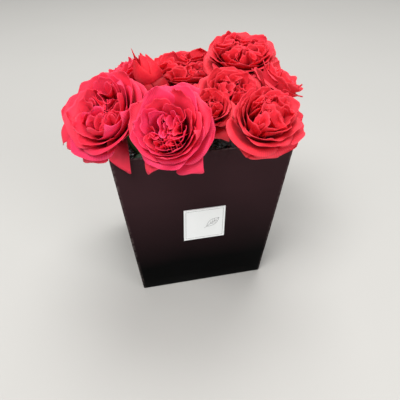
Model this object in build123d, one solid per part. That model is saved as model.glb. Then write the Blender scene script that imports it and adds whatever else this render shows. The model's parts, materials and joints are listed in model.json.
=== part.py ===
from build123d import *
from math import atan, cos, radians, sin
import os

# A square paper-covered board box, wider at its rim than at its base. It holds a film
# tray of wet foam, and long-stemmed roses stand in blind holes in the foam.
# Millimetres. The origin is the middle of the base, on the surface that the box stands
# on. +Z is up, and the label is on the face towards -Y.

# ---- driving sizes ----
TOP_WIDTH = 180.0  # outside, at the rim
BASE_WIDTH = 140.0  # outside, at the base
HEIGHT = 180.0

BOARD = 2.0
PAPER = 0.3  # every covering paper
STAY = 0.2  # paper tape round the boards' corners
STAY_LEG = 15.0
STAY_END_GAP = 5.0
TURN_IN = 15.0  # outer paper folded over the rim, and under the base
COVER_MARGIN = 3.0  # the base paper stops this far inside the box's edge

FILM = 0.4
FILM_DROP = 3.5  # rim of the box down to the film's edge
FOAM_DROP = 16.5  # rim of the box down to the foam
BRICK_DEPTH = 110.0  # a whole foam brick, front to back

LABEL_WIDTH = 44.5
LABEL_HEIGHT = 42.0
LABEL_PLATE = 1.2
LABEL_GLUE = 0.2
FOIL_INSET = 2.0
FOIL_WIDTH = 0.4
FOIL_GROOVE = 0.15
FOIL = 0.1

BLOOM = 76.0  # across the largest rose
STEM_RADIUS = 3.0
STEM_IN_FOAM = 52.0  # depth of a stem's tip under the foam's top
STEM_CUT = 35.0  # degrees, the slant of a stem's cut end
HIP_RADIUS = 5.5
HIP_DROP = 6.0  # middle of the hip to the underside of the bloom
NECK_RADIUS = 4.0
SEPAL_LENGTH = 15.0
SEPAL_WIDTH = 6.0
SEPAL = 0.8
SEPAL_DROOP = 25.0  # degrees
SEPALS = 5

# ---- clearances ----
FIT = 0.05  # between glued or close-cut pieces
INSERT_PLAY = 0.8  # film tray to lining, all round
FOAM_PLAY = 0.3  # foam to film
HOLE_PLAY = 0.08  # stem to foam, on the radius
TIP_ROOM = 1.0  # below a stem's tip
RIM_ROOM = 2.0  # stem to film at the rim
KNEE_RISE = 6.0  # rim up to where a stem bends outwards

# ---- the bunch ----
# Places and sizes below suit this rim and this largest bloom. The bunch spreads in
# proportion as the larger of the two grows.
LAYOUT_RIM = 180.0
LAYOUT_BLOOM = 76.0
BLOOM_SCALE = BLOOM / LAYOUT_BLOOM
SPREAD = max(BLOOM_SCALE, TOP_WIDTH / LAYOUT_RIM)

# name: x, y, middle of the bloom above the rim, compass facing, lean, radius, depth,
# share of its way out over the foam at which its stem stands in the foam
ROSES = {
    "rose_front_left": (-92, -65.5, 32, 214, 49, 38, 40, 0.5),
    "rose_front": (-37.5, -120, 39, 243, 52, 37, 42, 0.6),
    "rose_front_right": (53.5, -109.5, 31, 302, 40, 36, 40, 0.6),
    "rose_centre": (35, -46, 39, 282, 34, 30, 36, 0.5),
    "rose_right": (89, -35, 39.5, -9, 39, 28, 34, 0.5),
    "rose_inner": (5, -86.5, 39.5, 248, 36, 21, 30, 0.5),
    "rose_back_right": (68.5, 26, 53, 267, 21, 37, 38, 0.8),
    "rose_back": (12, 65, 29, 263, 19, 36, 38, 0.8),
    "rose_back_left": (-62, 43, 32, 165, 32, 30, 36, 0.6),
    "rose_middle": (1.5, -10.5, 22.5, 95, 8, 22, 30, 0.9),
    "rosebud": (-39, 10, 50.5, 147, 22, 14, 38, 0.5),
}

# radius and height of a head's outline, as shares of its radius and depth
BLOOM_OUTLINE = [(0, 0), (0.2, 0), (0.62, 0.15), (0.9, 0.4), (1, 0.64), (0.95, 0.84), (0.7, 0.98), (0, 1)]
BUD_OUTLINE = [(0, 0), (0.4, 0), (0.85, 0.2), (1, 0.42), (0.86, 0.75), (0.4, 1), (0, 1)]
HEAD_MIDDLE = 0.55  # share of the depth, from the neck to the head's middle

# ---- worked out from these ----
LEAN = atan((TOP_WIDTH - BASE_WIDTH) / 2 / HEIGHT)
BOTTOM_BOARD = 2 * PAPER  # underside of the base board, above the two papers
RIM_BOARD = HEIGHT - PAPER  # top of the walls' boards, under the folded paper
IN_BOARD = PAPER + FIT + STAY  # wall thickness outside the board
IN_LINING = IN_BOARD + BOARD
IN_FACE = IN_LINING + PAPER
IN_FILM = IN_FACE + INSERT_PLAY
IN_FOAM = IN_FILM + FILM + FOAM_PLAY
FLOOR = BOTTOM_BOARD + BOARD + PAPER  # top of the base's lining
FOAM_BOTTOM = FLOOR + FIT + FILM
FOAM_TOP = HEIGHT - FOAM_DROP
FOAM_JOINT = (FOAM_BOTTOM + FOAM_TOP) / 2
FOOT_Z = FOAM_TOP - STEM_IN_FOAM
KNEE_Z = HEIGHT + KNEE_RISE


def half_width(z, inset=0.0):
    """Half the box's width at a height, less an inset measured square to the wall."""
    slope = (TOP_WIDTH - BASE_WIDTH) / 2 / HEIGHT
    return BASE_WIDTH / 2 + slope * z - inset / cos(LEAN)


def ruled(outline, z_low, z_high):
    """A solid between an outline, given as a function of the height, at two heights."""
    wires = [Wire.make_polygon([Vector(x, y, z) for x, y in outline(z)]) for z in (z_low, z_high)]
    return Solid.make_loft(wires, ruled=True)


def tapered(z_low, z_high, inset=0.0):
    """A square block with the box's taper."""

    def outline(z):
        h = half_width(z, inset)
        return [(-h, -h), (h, -h), (h, h), (-h, h)]

    return ruled(outline, z_low, z_high)


def tapered_ring(z_low, z_high, outside, inside):
    """A square tube with the box's taper, between two insets."""
    return tapered(z_low, z_high, outside) - tapered(z_low - 1, z_high + 1, inside)


# ---- box ----
def full_wall(side):
    """The front (-1) or back (1) board, as wide as the box."""

    def outline(z):
        out = half_width(z, IN_BOARD)
        inner = half_width(z, IN_LINING)
        return [(-out, side * inner), (out, side * inner), (out, side * out), (-out, side * out)]

    return ruled(outline, BOTTOM_BOARD, RIM_BOARD)


def side_wall(side):
    """The left (-1) or right (1) board, which fits between the front and back boards."""

    def outline(z):
        out = half_width(z, IN_BOARD)
        inner = half_width(z, IN_LINING)
        end = inner - FIT
        return [(side * inner, -end), (side * out, -end), (side * out, end), (side * inner, end)]

    return ruled(outline, BOTTOM_BOARD, RIM_BOARD)


def base_board():
    return tapered(BOTTOM_BOARD, BOTTOM_BOARD + BOARD, IN_LINING + FIT)


def corner_stays():
    """Paper tape folded round each upright edge of the boards."""
    low, high = BOTTOM_BOARD + STAY_END_GAP, RIM_BOARD - STAY_END_GAP
    tape = tapered_ring(low, high, PAPER + FIT / 2, PAPER + FIT / 2 + STAY)
    keep_out = ruled(lambda z: cross_outline(half_width(z), half_width(z) - STAY_LEG), 0, HEIGHT)
    return tape - keep_out


def cross_outline(reach, arm):
    """A plus sign whose arms are 2 * arm wide and reach past the tape."""
    far = reach + 1
    return [
        (-arm, -far), (arm, -far), (arm, -arm), (far, -arm), (far, arm), (arm, arm),
        (arm, far), (-arm, far), (-arm, arm), (-far, arm), (-far, -arm), (-arm, -arm),
    ]


def outer_wrap():
    """Paper round the four walls, folded over the rim and under the base."""
    skin = tapered(PAPER, HEIGHT) - tapered(BOTTOM_BOARD, RIM_BOARD, PAPER)
    skin = skin - tapered(RIM_BOARD - 1, HEIGHT + 1, IN_FACE)
    opening = BASE_WIDTH / 2 - TURN_IN
    skin = skin - Pos(0, 0, PAPER) * Box(2 * opening, 2 * opening, 4 * PAPER)
    return skin + tapered_ring(HEIGHT - TURN_IN, RIM_BOARD, IN_LINING + FIT / 2, IN_FACE)


def base_cover():
    width = BASE_WIDTH - 2 * COVER_MARGIN
    return Pos(0, 0, PAPER / 2) * Box(width, width, PAPER)


def wall_lining():
    return tapered_ring(FLOOR + FIT, HEIGHT - TURN_IN - FIT, IN_LINING + FIT / 2, IN_FACE)


def base_lining():
    return tapered(FLOOR - PAPER, FLOOR, IN_LINING + FIT)


# ---- label ----
def label_plane(lift):
    """The middle of the front wall, lifted square to it; x to the right and y up the wall."""
    outward = Vector(0, -cos(LEAN), -sin(LEAN))
    middle = Vector(0, -half_width(HEIGHT / 2), HEIGHT / 2)
    return Plane(origin=middle + outward * lift, x_dir=(1, 0, 0), z_dir=outward)


def slab(width, height, thick):
    return Pos(0, 0, thick / 2) * Box(width, height, thick)


def foil_ring(thick, ease):
    """The line inside the label's edge, narrower by an ease on both of its sides."""
    outer = slab(LABEL_WIDTH - 2 * (FOIL_INSET + ease), LABEL_HEIGHT - 2 * (FOIL_INSET + ease), thick)
    inset = FOIL_INSET + FOIL_WIDTH - ease
    return outer - slab(LABEL_WIDTH - 2 * inset, LABEL_HEIGHT - 2 * inset, 3 * thick)


def label_adhesive():
    return label_plane(0) * slab(LABEL_WIDTH - 2, LABEL_HEIGHT - 2, LABEL_GLUE)


def label_plate():
    groove = Pos(0, 0, LABEL_PLATE - FOIL_GROOVE) * foil_ring(2 * FOIL_GROOVE, 0)
    return label_plane(LABEL_GLUE) * (slab(LABEL_WIDTH, LABEL_HEIGHT, LABEL_PLATE) - groove)


def label_foil_line():
    return label_plane(LABEL_GLUE + LABEL_PLATE - FOIL_GROOVE) * foil_ring(FOIL, FIT)


# ---- insert: film tray and foam ----
def film_liner():
    tray = tapered(FLOOR + FIT, HEIGHT - FILM_DROP, IN_FILM)
    return tray - tapered(FOAM_BOTTOM, HEIGHT, IN_FILM + FILM)


def foam_brick(z_low, z_high, joint, side, stems=()):
    """One layer's piece in front of (-1) or behind (1) a joint, with holes for the stems."""
    far = TOP_WIDTH
    middle = Vector(0, joint + side * (far / 2 + FIT / 2), (z_low + z_high) / 2)
    piece = tapered(z_low, z_high, IN_FOAM) & Pos(middle) * Box(2 * far, far, 2 * far)
    for rose in stems:
        piece = piece - rose.hole()
    return piece


# ---- roses ----
def direction(facing, lean):
    """A unit vector that leans from upright towards a compass angle from +X."""
    tip = sin(radians(lean))
    return Vector(tip * cos(radians(facing)), tip * sin(radians(facing)), cos(radians(lean)))


def rod(start, end, radius):
    """A round bar between two points."""
    along = end - start
    return Plane(origin=start, z_dir=along) * Cylinder(
        radius, along.length, align=(Align.CENTER, Align.CENTER, Align.MIN)
    )


def inside_rim(point):
    """The point, moved level towards the middle until a stem there clears the film's rim."""
    reach = half_width(HEIGHT, IN_FILM + FILM) - STEM_RADIUS - RIM_ROOM
    x, y = (max(-reach, min(reach, value)) for value in (point.X, point.Y))
    return Vector(x, y, point.Z)


def clear_of_rim(point):
    """The point, lifted where it is over or outside the rim and a bent stem couldn't reach it."""
    outside = (point - inside_rim(point)).length > FIT
    lift = max(0.0, KNEE_Z + STEM_RADIUS - point.Z) if outside else 0.0
    return point + Vector(0, 0, lift)


class Rose:
    """One rose: where its head, hip, knee and foot are, and its three pieces."""

    def __init__(self, name, x, y, rise, facing, lean, radius, depth, foot_share):
        self.name = name
        self.radius = radius * BLOOM_SCALE
        self.depth = depth * BLOOM_SCALE
        self.up = direction(facing, lean)
        middle = Vector(x * SPREAD, y * SPREAD, HEIGHT + rise * BLOOM_SCALE)
        self.hip = clear_of_rim(middle - self.up * (HEAD_MIDDLE * self.depth + HIP_DROP))
        self.collar = self.hip + self.up * HIP_DROP
        way_out = inside_rim(self.hip)
        self.foot = Vector(way_out.X * foot_share, way_out.Y * foot_share, FOOT_Z)
        share = min(1.0, (KNEE_Z - self.foot.Z) / (self.hip.Z - self.foot.Z))
        straight = self.foot + (self.hip - self.foot) * share
        self.knee = inside_rim(straight)
        self.bent = (self.knee - straight).length > FIT
        self.along = (self.knee - self.foot).normalized()

    def head_plane(self, drop=0.0):
        return Plane(origin=self.collar - self.up * drop, z_dir=self.up)

    def bloom(self):
        outline = BUD_OUTLINE if self.name == "rosebud" else BLOOM_OUTLINE
        points = [(self.radius * r, 0, self.depth * z) for r, z in outline]
        face = make_face(Polyline(*points, close=True))
        return self.head_plane() * revolve(face, Axis.Z)

    def calyx(self):
        """A round hip and its neck, with sepals bent back under the bloom."""
        hip = Pos(0, 0, -HIP_DROP) * Sphere(HIP_RADIUS)
        neck = Pos(0, 0, -HIP_DROP) * Cone(
            HIP_RADIUS * 0.9, NECK_RADIUS, HIP_DROP, align=(Align.CENTER, Align.CENTER, Align.MIN)
        )
        flower = hip - Pos(0, 0, HIP_RADIUS) * Box(4 * HIP_RADIUS, 4 * HIP_RADIUS, 2 * HIP_RADIUS) + neck
        root = NECK_RADIUS / 2
        half = SEPAL_WIDTH / 2
        outline = [(0, -half / 2), (SEPAL_LENGTH * 0.4, -half), (SEPAL_LENGTH, 0)]
        outline += [(x, -y) for x, y in reversed(outline[:-1])]
        sepal = extrude(make_face(Polyline(*outline, close=True)), -SEPAL)
        for turn in range(SEPALS):
            place = Rot(0, 0, turn * 360 / SEPALS) * Pos(root, 0, -SEPAL) * Rot(0, SEPAL_DROOP, 0)
            flower = flower + place * sepal
        return self.head_plane() * flower

    def stem(self):
        """A bar from its slanted cut end to the hip, by way of a knee where the rim is in its way."""
        stem = rod(self.foot, self.knee if self.bent else self.hip, STEM_RADIUS)
        if self.bent:
            stem = stem + rod(self.knee, self.hip, STEM_RADIUS) + Pos(self.knee) * Sphere(STEM_RADIUS)
        across = self.along.cross(Vector(0, 1, 0))
        cut = Plane(origin=self.foot, x_dir=across, z_dir=self.along) * Rot(0, STEM_CUT, 0)
        size = 6 * STEM_RADIUS
        below = Pos(0, 0, STEM_RADIUS * sin(radians(STEM_CUT)) - size / 2)
        stem = stem - cut * below * Box(size, size, size)
        return stem - Pos(self.hip) * Sphere(HIP_RADIUS + FIT)

    def hole(self):
        """The blind hole that the stem stands in."""
        return rod(self.foot - self.along * TIP_ROOM, self.knee, STEM_RADIUS + HOLE_PLAY)

    def travel(self):
        """How far the stem slides along itself until its tip is out of the foam."""
        return (FOAM_TOP - self.foot.Z) / self.along.Z + 3 * STEM_RADIUS


def parts():
    """Every piece, by name."""
    roses = [Rose(name, *values) for name, values in ROSES.items()]
    whole_brick_front = -half_width(FOAM_JOINT, IN_FOAM) + BRICK_DEPTH
    made = {
        "front_board": full_wall(-1),
        "back_board": full_wall(1),
        "left_board": side_wall(-1),
        "right_board": side_wall(1),
        "base_board": base_board(),
        "corner_stays": corner_stays(),
        "outer_wrap": outer_wrap(),
        "base_cover": base_cover(),
        "wall_lining": wall_lining(),
        "base_lining": base_lining(),
        "label_adhesive": label_adhesive(),
        "label_plate": label_plate(),
        "label_foil_line": label_foil_line(),
        "film_liner": film_liner(),
        "foam_lower_front": foam_brick(FOAM_BOTTOM, FOAM_JOINT, -whole_brick_front, -1),
        "foam_lower_back": foam_brick(FOAM_BOTTOM, FOAM_JOINT, -whole_brick_front, 1),
        "foam_upper_front": foam_brick(FOAM_JOINT, FOAM_TOP, whole_brick_front, -1, roses),
        "foam_upper_back": foam_brick(FOAM_JOINT, FOAM_TOP, whole_brick_front, 1, roses),
    }
    for rose in roses:
        made[rose.name + "_stem"] = rose.stem()
        made[rose.name + "_calyx"] = rose.calyx()
        made[rose.name + "_bloom"] = rose.bloom()
        line = [round(value, 4) for value in (rose.along.X, rose.along.Y, rose.along.Z)]
        print(rose.name, "slides along", line, "by", round(rose.travel(), 1), "mm")
    return made


os.makedirs("parts", exist_ok=True)
for node, solid in parts().items():
    export_step(solid, f"parts/{node}.step")
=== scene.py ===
import json
from math import pi, radians

import bmesh
import bpy
import numpy as np
from mathutils import Matrix, Vector


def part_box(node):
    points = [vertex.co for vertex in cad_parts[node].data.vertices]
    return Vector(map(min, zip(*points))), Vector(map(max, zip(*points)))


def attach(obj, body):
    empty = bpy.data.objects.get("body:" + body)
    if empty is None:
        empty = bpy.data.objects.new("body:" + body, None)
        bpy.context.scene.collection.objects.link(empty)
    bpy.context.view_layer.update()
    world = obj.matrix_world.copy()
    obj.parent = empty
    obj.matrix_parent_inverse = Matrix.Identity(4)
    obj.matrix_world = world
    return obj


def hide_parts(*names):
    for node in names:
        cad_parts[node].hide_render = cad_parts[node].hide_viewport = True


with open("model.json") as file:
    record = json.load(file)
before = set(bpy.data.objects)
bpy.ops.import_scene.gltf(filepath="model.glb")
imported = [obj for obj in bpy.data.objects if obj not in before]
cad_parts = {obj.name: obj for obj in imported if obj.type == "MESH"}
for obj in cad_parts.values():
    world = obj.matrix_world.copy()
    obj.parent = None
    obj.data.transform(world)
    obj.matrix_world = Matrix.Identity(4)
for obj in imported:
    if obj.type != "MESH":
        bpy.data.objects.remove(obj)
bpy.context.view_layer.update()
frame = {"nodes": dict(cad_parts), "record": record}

MM = 0.001
ROSES = ["rose_front_left", "rose_front", "rose_front_right", "rose_centre", "rose_right",
         "rose_inner", "rose_back_right", "rose_back", "rose_back_left", "rose_middle", "rosebud"]
HEAD_SEED = 40   # first seed of the heads, one for each rose in turn
CALYX_SEED = 80  # first seed of the calyces
FILM_SEED = 11
# The record's material slot of each CAD node.
SLOTS = {row["node"]: row["material_slot"] for row in frame["record"]["subparts"]}


# ---------------------------------------------------------------- shader maths
class Wire:
    """A node's output. Arithmetic on it adds Math nodes."""

    def __init__(self, graph, socket):
        self.graph = graph
        self.socket = socket

    def math(self, operation, *values):
        return self.graph.node("Math", {"operation": operation}, dict(enumerate(values)))

    def __add__(self, other):
        return self.math("ADD", self, other)

    def __sub__(self, other):
        return self.math("SUBTRACT", self, other)

    def __rsub__(self, other):
        return self.math("SUBTRACT", other, self)

    def __mul__(self, other):
        return self.math("MULTIPLY", self, other)

    __radd__ = __add__
    __rmul__ = __mul__


class Graph:
    """A material and its nodes."""

    def __init__(self, name, **sockets):
        self.material = bpy.data.materials.new(name)
        self.material.use_nodes = True
        self.tree = self.material.node_tree
        self.shader = self.tree.nodes["Principled BSDF"]
        for socket, value in sockets.items():
            self.set(socket.replace("_", " "), value)

    def node(self, kind, settings=None, inputs=None, output=0):
        """Adds a node, sets it up, feeds its sockets and returns one output."""
        made = self.tree.nodes.new("ShaderNode" + kind)
        for key, value in (settings or {}).items():
            setattr(made, key, value)
        for key, value in (inputs or {}).items():
            self.feed(made.inputs[key], value)
        return Wire(self, made.outputs[output])

    def feed(self, socket, value):
        if isinstance(value, Wire):
            self.tree.links.new(value.socket, socket)
        else:
            socket.default_value = value

    def set(self, socket, value):
        self.feed(self.shader.inputs[socket], value)

    def place(self, scale=(1, 1, 1)):
        """The piece's own coordinates, in metres, stretched."""
        own = self.node("TexCoord", output="Object")
        return self.node("Mapping", inputs={"Vector": own, "Scale": scale})

    def attribute(self, name):
        return self.node("Attribute", {"attribute_name": name}, output="Fac")

    def noise(self, scale, detail=3.0, rough=0.5, at=None):
        inputs = {"Scale": scale, "Detail": detail, "Roughness": rough}
        inputs["Vector"] = at or self.place()
        return self.node("TexNoise", inputs=inputs)

    def cells(self, scale, feature="F1", at=None):
        inputs = {"Scale": scale, "Vector": at or self.place()}
        return self.node("TexVoronoi", {"feature": feature}, inputs, output="Distance")

    def span(self, value, low, high, start=0.0, end=1.0):
        """value from low..high to start..end, held at the ends."""
        inputs = {"Value": value, "From Min": low, "From Max": high, "To Min": start, "To Max": end}
        return self.node("MapRange", inputs=inputs)

    def mix(self, share, first, second):
        """One colour turning into another."""
        inputs = {0: share, 6: colour(first), 7: colour(second)}
        return self.node("Mix", {"data_type": "RGBA"}, inputs, output=2)

    def bump(self, height, distance, strength=1.0):
        inputs = {"Height": height, "Distance": distance, "Strength": strength}
        self.set("Normal", self.node("Bump", inputs=inputs))


def colour(value):
    return value if isinstance(value, Wire) else (*value[:3], 1.0)


# ---------------------------------------------------------------- finishes
def petal_finish(name, deep, body, light, rim):
    """Velvety petals: deep red towards the base, partly their own colour and partly painted shade in
    the gaps between petals, veined, with a paler rim that is a painted highlight.
    """
    g = Graph(name, Subsurface_Weight=0.06, Subsurface_Radius=(1.0, 0.15, 0.2),
              Subsurface_Scale=0.003, Sheen_Weight=0.04, Sheen_Roughness=0.5,
              Sheen_Tint=(1.0, 0.2, 0.3, 1.0))
    g.set("Specular IOR Level", 0.22)
    along = g.attribute("along")
    tint = g.attribute("tint")
    across = g.attribute("across")
    blotch = g.noise(60.0, 3.0, 0.6)
    fan = g.node("CombineXYZ", inputs={"X": across, "Y": along * 0.2, "Z": tint * 7.0})
    veins = g.node("TexWave", {"wave_type": "BANDS", "bands_direction": "X"},
                   {"Scale": 11.0, "Distortion": 1.8, "Detail": 2.0, "Vector": fan})
    # Deep towards each petal's base: partly the petal's own deeper red, partly painted shade where
    # petals overlap and the heart is deep.
    colour_and_base_shade = g.mix(g.span(along + blotch * 0.2 - 0.1, 0.22, 0.78), deep, body)
    shaded = g.mix(g.span(tint + blotch * 0.6 - 0.3, 0.2, 1.0, 0.0, 0.9), colour_and_base_shade, light)
    veined = g.mix(veins * 0.20 * along, shaded, deep)
    # Paler rim near the petal tops, in blotches: a painted highlight of the edges catching light.
    edge = g.span(along, 0.93, 1.0) * g.span(blotch, 0.40, 0.65)
    g.set("Base Color", g.mix(edge * 0.15, veined, rim))
    g.set("Roughness", g.span(blotch, 0.3, 0.7, 0.48, 0.64))
    g.bump(veins * 0.4 + g.noise(800.0, 2.0) * 0.6, 0.00018, 0.5)
    return g.material


def black_paper_finish():
    """Covering paper: near black, fine grained, with a painted warm reflection of the roses and lamps
    growing towards the top, and a painted pale highlight along the folds.
    """
    g = Graph("black_covering_paper")
    g.set("Specular IOR Level", 0.04)
    fibre = g.noise(1500.0, 3.0, 0.65)
    cloud = g.noise(22.0, 4.0, 0.6)
    height = g.node("SeparateXYZ", inputs={"Vector": g.place()}, output="Z")
    # Painted reflection: darker towards the bottom, warm red towards the top, for the roses and lamps
    # reflected in the paper.
    painted_reflection = g.span(height + cloud * 0.02, 0.045, 0.140) * 0.8 + g.span(height, 0.12, 0.20) * 0.2
    ground = g.mix(painted_reflection, (0.0004, 0.0004, 0.0005), (0.0350, 0.0150, 0.0182))
    # The fibre grain shows only as far as the painted reflection reaches.
    grain_and_reflection = g.mix(g.span(fibre, 0.4, 0.75, 0.0, 0.4) * painted_reflection, ground, (0.040, 0.019, 0.020))
    # Painted highlight: a pale, broken line along the upright corners and the outer rim.
    edge_highlight = g.attribute("fold") * g.span(g.noise(260.0, 4.0, 0.7), 0.42, 0.62)
    g.set("Base Color", g.mix(edge_highlight * 0.55, grain_and_reflection, (0.16, 0.13, 0.125)))
    g.set("Roughness", g.span(cloud, 0.3, 0.7, 0.42, 0.56))
    g.bump(fibre * 0.7 + g.noise(140.0, 2.0) * 0.3, 0.00012, 0.6)
    return g.material


def lining_finish():
    """Matte black lining paper with a faint laid line."""
    g = Graph("black_lining_paper", Roughness=0.85)
    fibre = g.noise(1100.0, 3.0, 0.6)
    laid = g.noise(300.0, 1.0, 0.5, g.place((1.0, 1.0, 0.08)))
    g.set("Base Color", g.mix(fibre * 0.5 + laid * 0.3, (0.010, 0.010, 0.010), (0.032, 0.030, 0.030)))
    g.bump(fibre, 0.0001, 0.5)
    return g.material


def board_finish():
    """Uncoated grey board, flecked with recycled fibre."""
    g = Graph("grey_board", Roughness=0.9)
    fleck = g.cells(900.0)
    cloud = g.noise(120.0, 5.0, 0.7)
    base = g.mix(cloud, (0.20, 0.17, 0.14), (0.38, 0.34, 0.29))
    g.set("Base Color", g.mix(g.span(fleck, 0.0, 0.35, 0.5, 0.0), base, (0.08, 0.07, 0.06)))
    g.bump(cloud + fleck * 0.3, 0.0002, 0.6)
    return g.material


def tape_finish():
    """Gummed kraft tape with long fibres."""
    g = Graph("gummed_tape", Roughness=0.75)
    fibre = g.noise(420.0, 5.0, 0.7, g.place((1.0, 1.0, 0.15)))
    g.set("Base Color", g.mix(fibre, (0.32, 0.19, 0.09), (0.52, 0.36, 0.20)))
    g.bump(fibre, 0.0001, 0.5)
    return g.material


def card_finish():
    """Smooth white label card with the faintest tooth."""
    g = Graph("white_card", Roughness=0.5)
    tooth = g.noise(1300.0, 3.0, 0.6)
    cloud = g.noise(60.0, 3.0)
    g.set("Base Color", g.mix(cloud, (0.79, 0.81, 0.81), (0.83, 0.845, 0.845)))
    g.set("Roughness", g.span(tooth, 0.3, 0.7, 0.42, 0.58))
    g.bump(tooth, 0.00005, 0.5)
    return g.material


def foil_finish(name, shade):
    """Thin grey metal foil, slightly rubbed."""
    g = Graph(name, Metallic=0.6)
    rub = g.noise(700.0, 3.0, 0.6)
    g.set("Base Color", g.mix(rub, tuple(0.7 * c for c in shade), shade))
    g.set("Roughness", g.span(rub, 0.3, 0.7, 0.3, 0.55))
    return g.material


def glue_finish():
    """Clear adhesive film, a little cloudy."""
    g = Graph("clear_adhesive")
    cloud = g.noise(400.0, 3.0)
    g.set("Base Color", g.mix(cloud, (0.50, 0.48, 0.42), (0.66, 0.64, 0.58)))
    g.set("Roughness", g.span(cloud, 0.3, 0.7, 0.2, 0.4))
    return g.material


def film_finish():
    """Glossy black film, creased in flat facets with fine wrinkles between."""
    g = Graph("black_film")
    g.set("Specular IOR Level", 0.32)
    wrinkle = g.noise(260.0, 4.0, 0.7)
    stray = g.node("TexNoise", inputs={"Scale": 60.0, "Vector": g.place()}, output=1)
    stray = g.node("VectorMath", {"operation": "SCALE"}, {0: stray, "Scale": 0.02})
    bent = g.node("VectorMath", {"operation": "ADD"}, {0: g.place(), 1: stray})
    facet = g.cells(75.0, "DISTANCE_TO_EDGE", bent)
    g.set("Base Color", g.mix(wrinkle, (0.0015, 0.0015, 0.0015), (0.006, 0.005, 0.006)))
    g.set("Roughness", g.span(wrinkle, 0.3, 0.7, 0.08, 0.22))
    g.bump(g.span(facet, 0.0, 0.5) * 0.75 + wrinkle * 0.25, 0.0022, 0.8)
    return g.material


def foam_finish():
    """Soaked floral foam: dark green, open cells with painted shade in their pits, crumbly patches,
    darker where it is wettest.
    """
    g = Graph("wet_foam")
    cell = g.cells(1100.0)
    crumb = g.noise(260.0, 5.0, 0.7)
    soak = g.noise(38.0, 4.0, 0.6)
    base = g.mix(g.span(soak, 0.3, 0.7), (0.006, 0.022, 0.009), (0.030, 0.090, 0.034))
    base = g.mix(g.span(crumb, 0.45, 0.75, 0.0, 0.7), base, (0.055, 0.130, 0.050))
    # Painted shade: the pits in the middle of each cell are darkened.
    g.set("Base Color", g.mix(g.span(cell, 0.05, 0.55), (0.002, 0.008, 0.003), base))
    g.set("Roughness", g.span(soak, 0.3, 0.7, 0.5, 0.8))
    g.bump(cell * 0.5 + crumb * 0.5, 0.0012, 0.8)
    return g.material


def green_finish(name, dark, pale, ribs):
    """Waxy green plant skin with lengthwise ribs and a reddish flush."""
    g = Graph(name, Roughness=0.45, Sheen_Weight=0.08)
    rib = g.noise(ribs, 3.0, 0.6, g.place((1.0, 1.0, 0.12)))
    blush = g.noise(70.0, 3.0, 0.6)
    skin = g.mix(rib, dark, pale)
    g.set("Base Color", g.mix(g.span(blush, 0.52, 0.75, 0.0, 0.6), skin, (0.16, 0.045, 0.025)))
    g.set("Roughness", g.span(rib, 0.3, 0.7, 0.38, 0.6))
    g.bump(rib, 0.0003, 0.5)
    return g.material


def floor_finish():
    """A plain pale surface with a barely seen unevenness."""
    g = Graph("pale_floor", Roughness=0.7)
    cloud = g.noise(3.0, 3.0)
    g.set("Base Color", g.mix(cloud, (0.458, 0.450, 0.429), (0.478, 0.470, 0.448)))
    return g.material


FINISH = {
    # Petal finishes: deep colour (own deeper red plus painted shade at the bases), body, light, and rim
    # colour (painted highlight).
    "pink_red_petals": petal_finish("pink_red_petals", (0.15, 0.001, 0.010), (0.90, 0.034, 0.078),
                                    (0.95, 0.044, 0.160), (1.0, 0.16, 0.28)),
    "scarlet_petals": petal_finish("scarlet_petals", (0.18, 0.003, 0.008), (0.82, 0.034, 0.054),
                                   (0.90, 0.045, 0.080), (1.0, 0.15, 0.20)),
    "bud_petals": petal_finish("bud_petals", (0.08, 0.000, 0.003), (0.66, 0.006, 0.016),
                               (0.92, 0.014, 0.034), (1.0, 0.12, 0.14)),
    "black_paper": black_paper_finish(),
    "black_lining": lining_finish(),
    "grey_board": board_finish(),
    "brown_tape": tape_finish(),
    "white_card": card_finish(),
    "grey_foil": foil_finish("grey_foil", (0.34, 0.34, 0.35)),
    "clear_adhesive": glue_finish(),
    "black_film": film_finish(),
    "green_foam": foam_finish(),
    "green_stem": green_finish("green_stem", (0.030, 0.085, 0.018), (0.10, 0.19, 0.045), 500.0),
    "green_sepal": green_finish("green_sepal", (0.035, 0.100, 0.022), (0.12, 0.23, 0.055), 700.0),
}


# ---------------------------------------------------------------- mesh helpers
def grid_quads(rows, columns, wrap=False):
    """Corner numbers of a grid's quads, facing along (across x up). wrap joins the last column
    to the first."""
    i, j = np.meshgrid(np.arange(rows - 1), np.arange(columns - (not wrap)), indexing="ij")
    right = (j + 1) % columns
    low, high = i * columns, (i + 1) * columns
    return np.stack([low + j, low + right, high + right, high + j], -1).reshape(-1, 4)


def surface_normals(points):
    """Unit normals of grids shaped (..., rows, columns, 3), along (across x up)."""
    up = np.gradient(points, axis=-3)
    across = np.gradient(points, axis=-2)
    normal = np.cross(across, up)
    return normal / np.maximum(np.linalg.norm(normal, axis=-1, keepdims=True), 1e-12)


def shell_quads(rows, columns):
    """Quads of a closed sheet: its front grid, its back grid turned over, and the edges between."""
    front = grid_quads(rows, columns)
    size = rows * columns
    number = np.arange(size).reshape(rows, columns)
    rim = np.concatenate([number[0, :-1], number[:-1, -1], number[-1, :0:-1], number[:0:-1, 0]])
    after = np.roll(rim, -1)
    edge = np.stack([after, rim, rim + size, after + size], -1)
    return np.concatenate([front, front[:, ::-1] + size, edge])


def shells(points, thick):
    """Closed sheets from a stack of grids (count, rows, columns, 3): each point is moved half
    the thickness both ways along its normal."""
    count, rows, columns = points.shape[:3]
    half = surface_normals(points) * (np.broadcast_to(thick, points.shape[:3])[..., None] / 2)
    both = np.stack([points + half, points - half], 1).reshape(count, -1, 3)
    quads = shell_quads(rows, columns)[None] + (np.arange(count) * both.shape[1])[:, None, None]
    return both.reshape(-1, 3), quads.reshape(-1, 4)


def on_both_faces(**values):
    """Values on a stack of grids, repeated for the backs of their sheets."""
    return {key: np.stack([value, value], 1).ravel() for key, value in values.items()}


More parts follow.
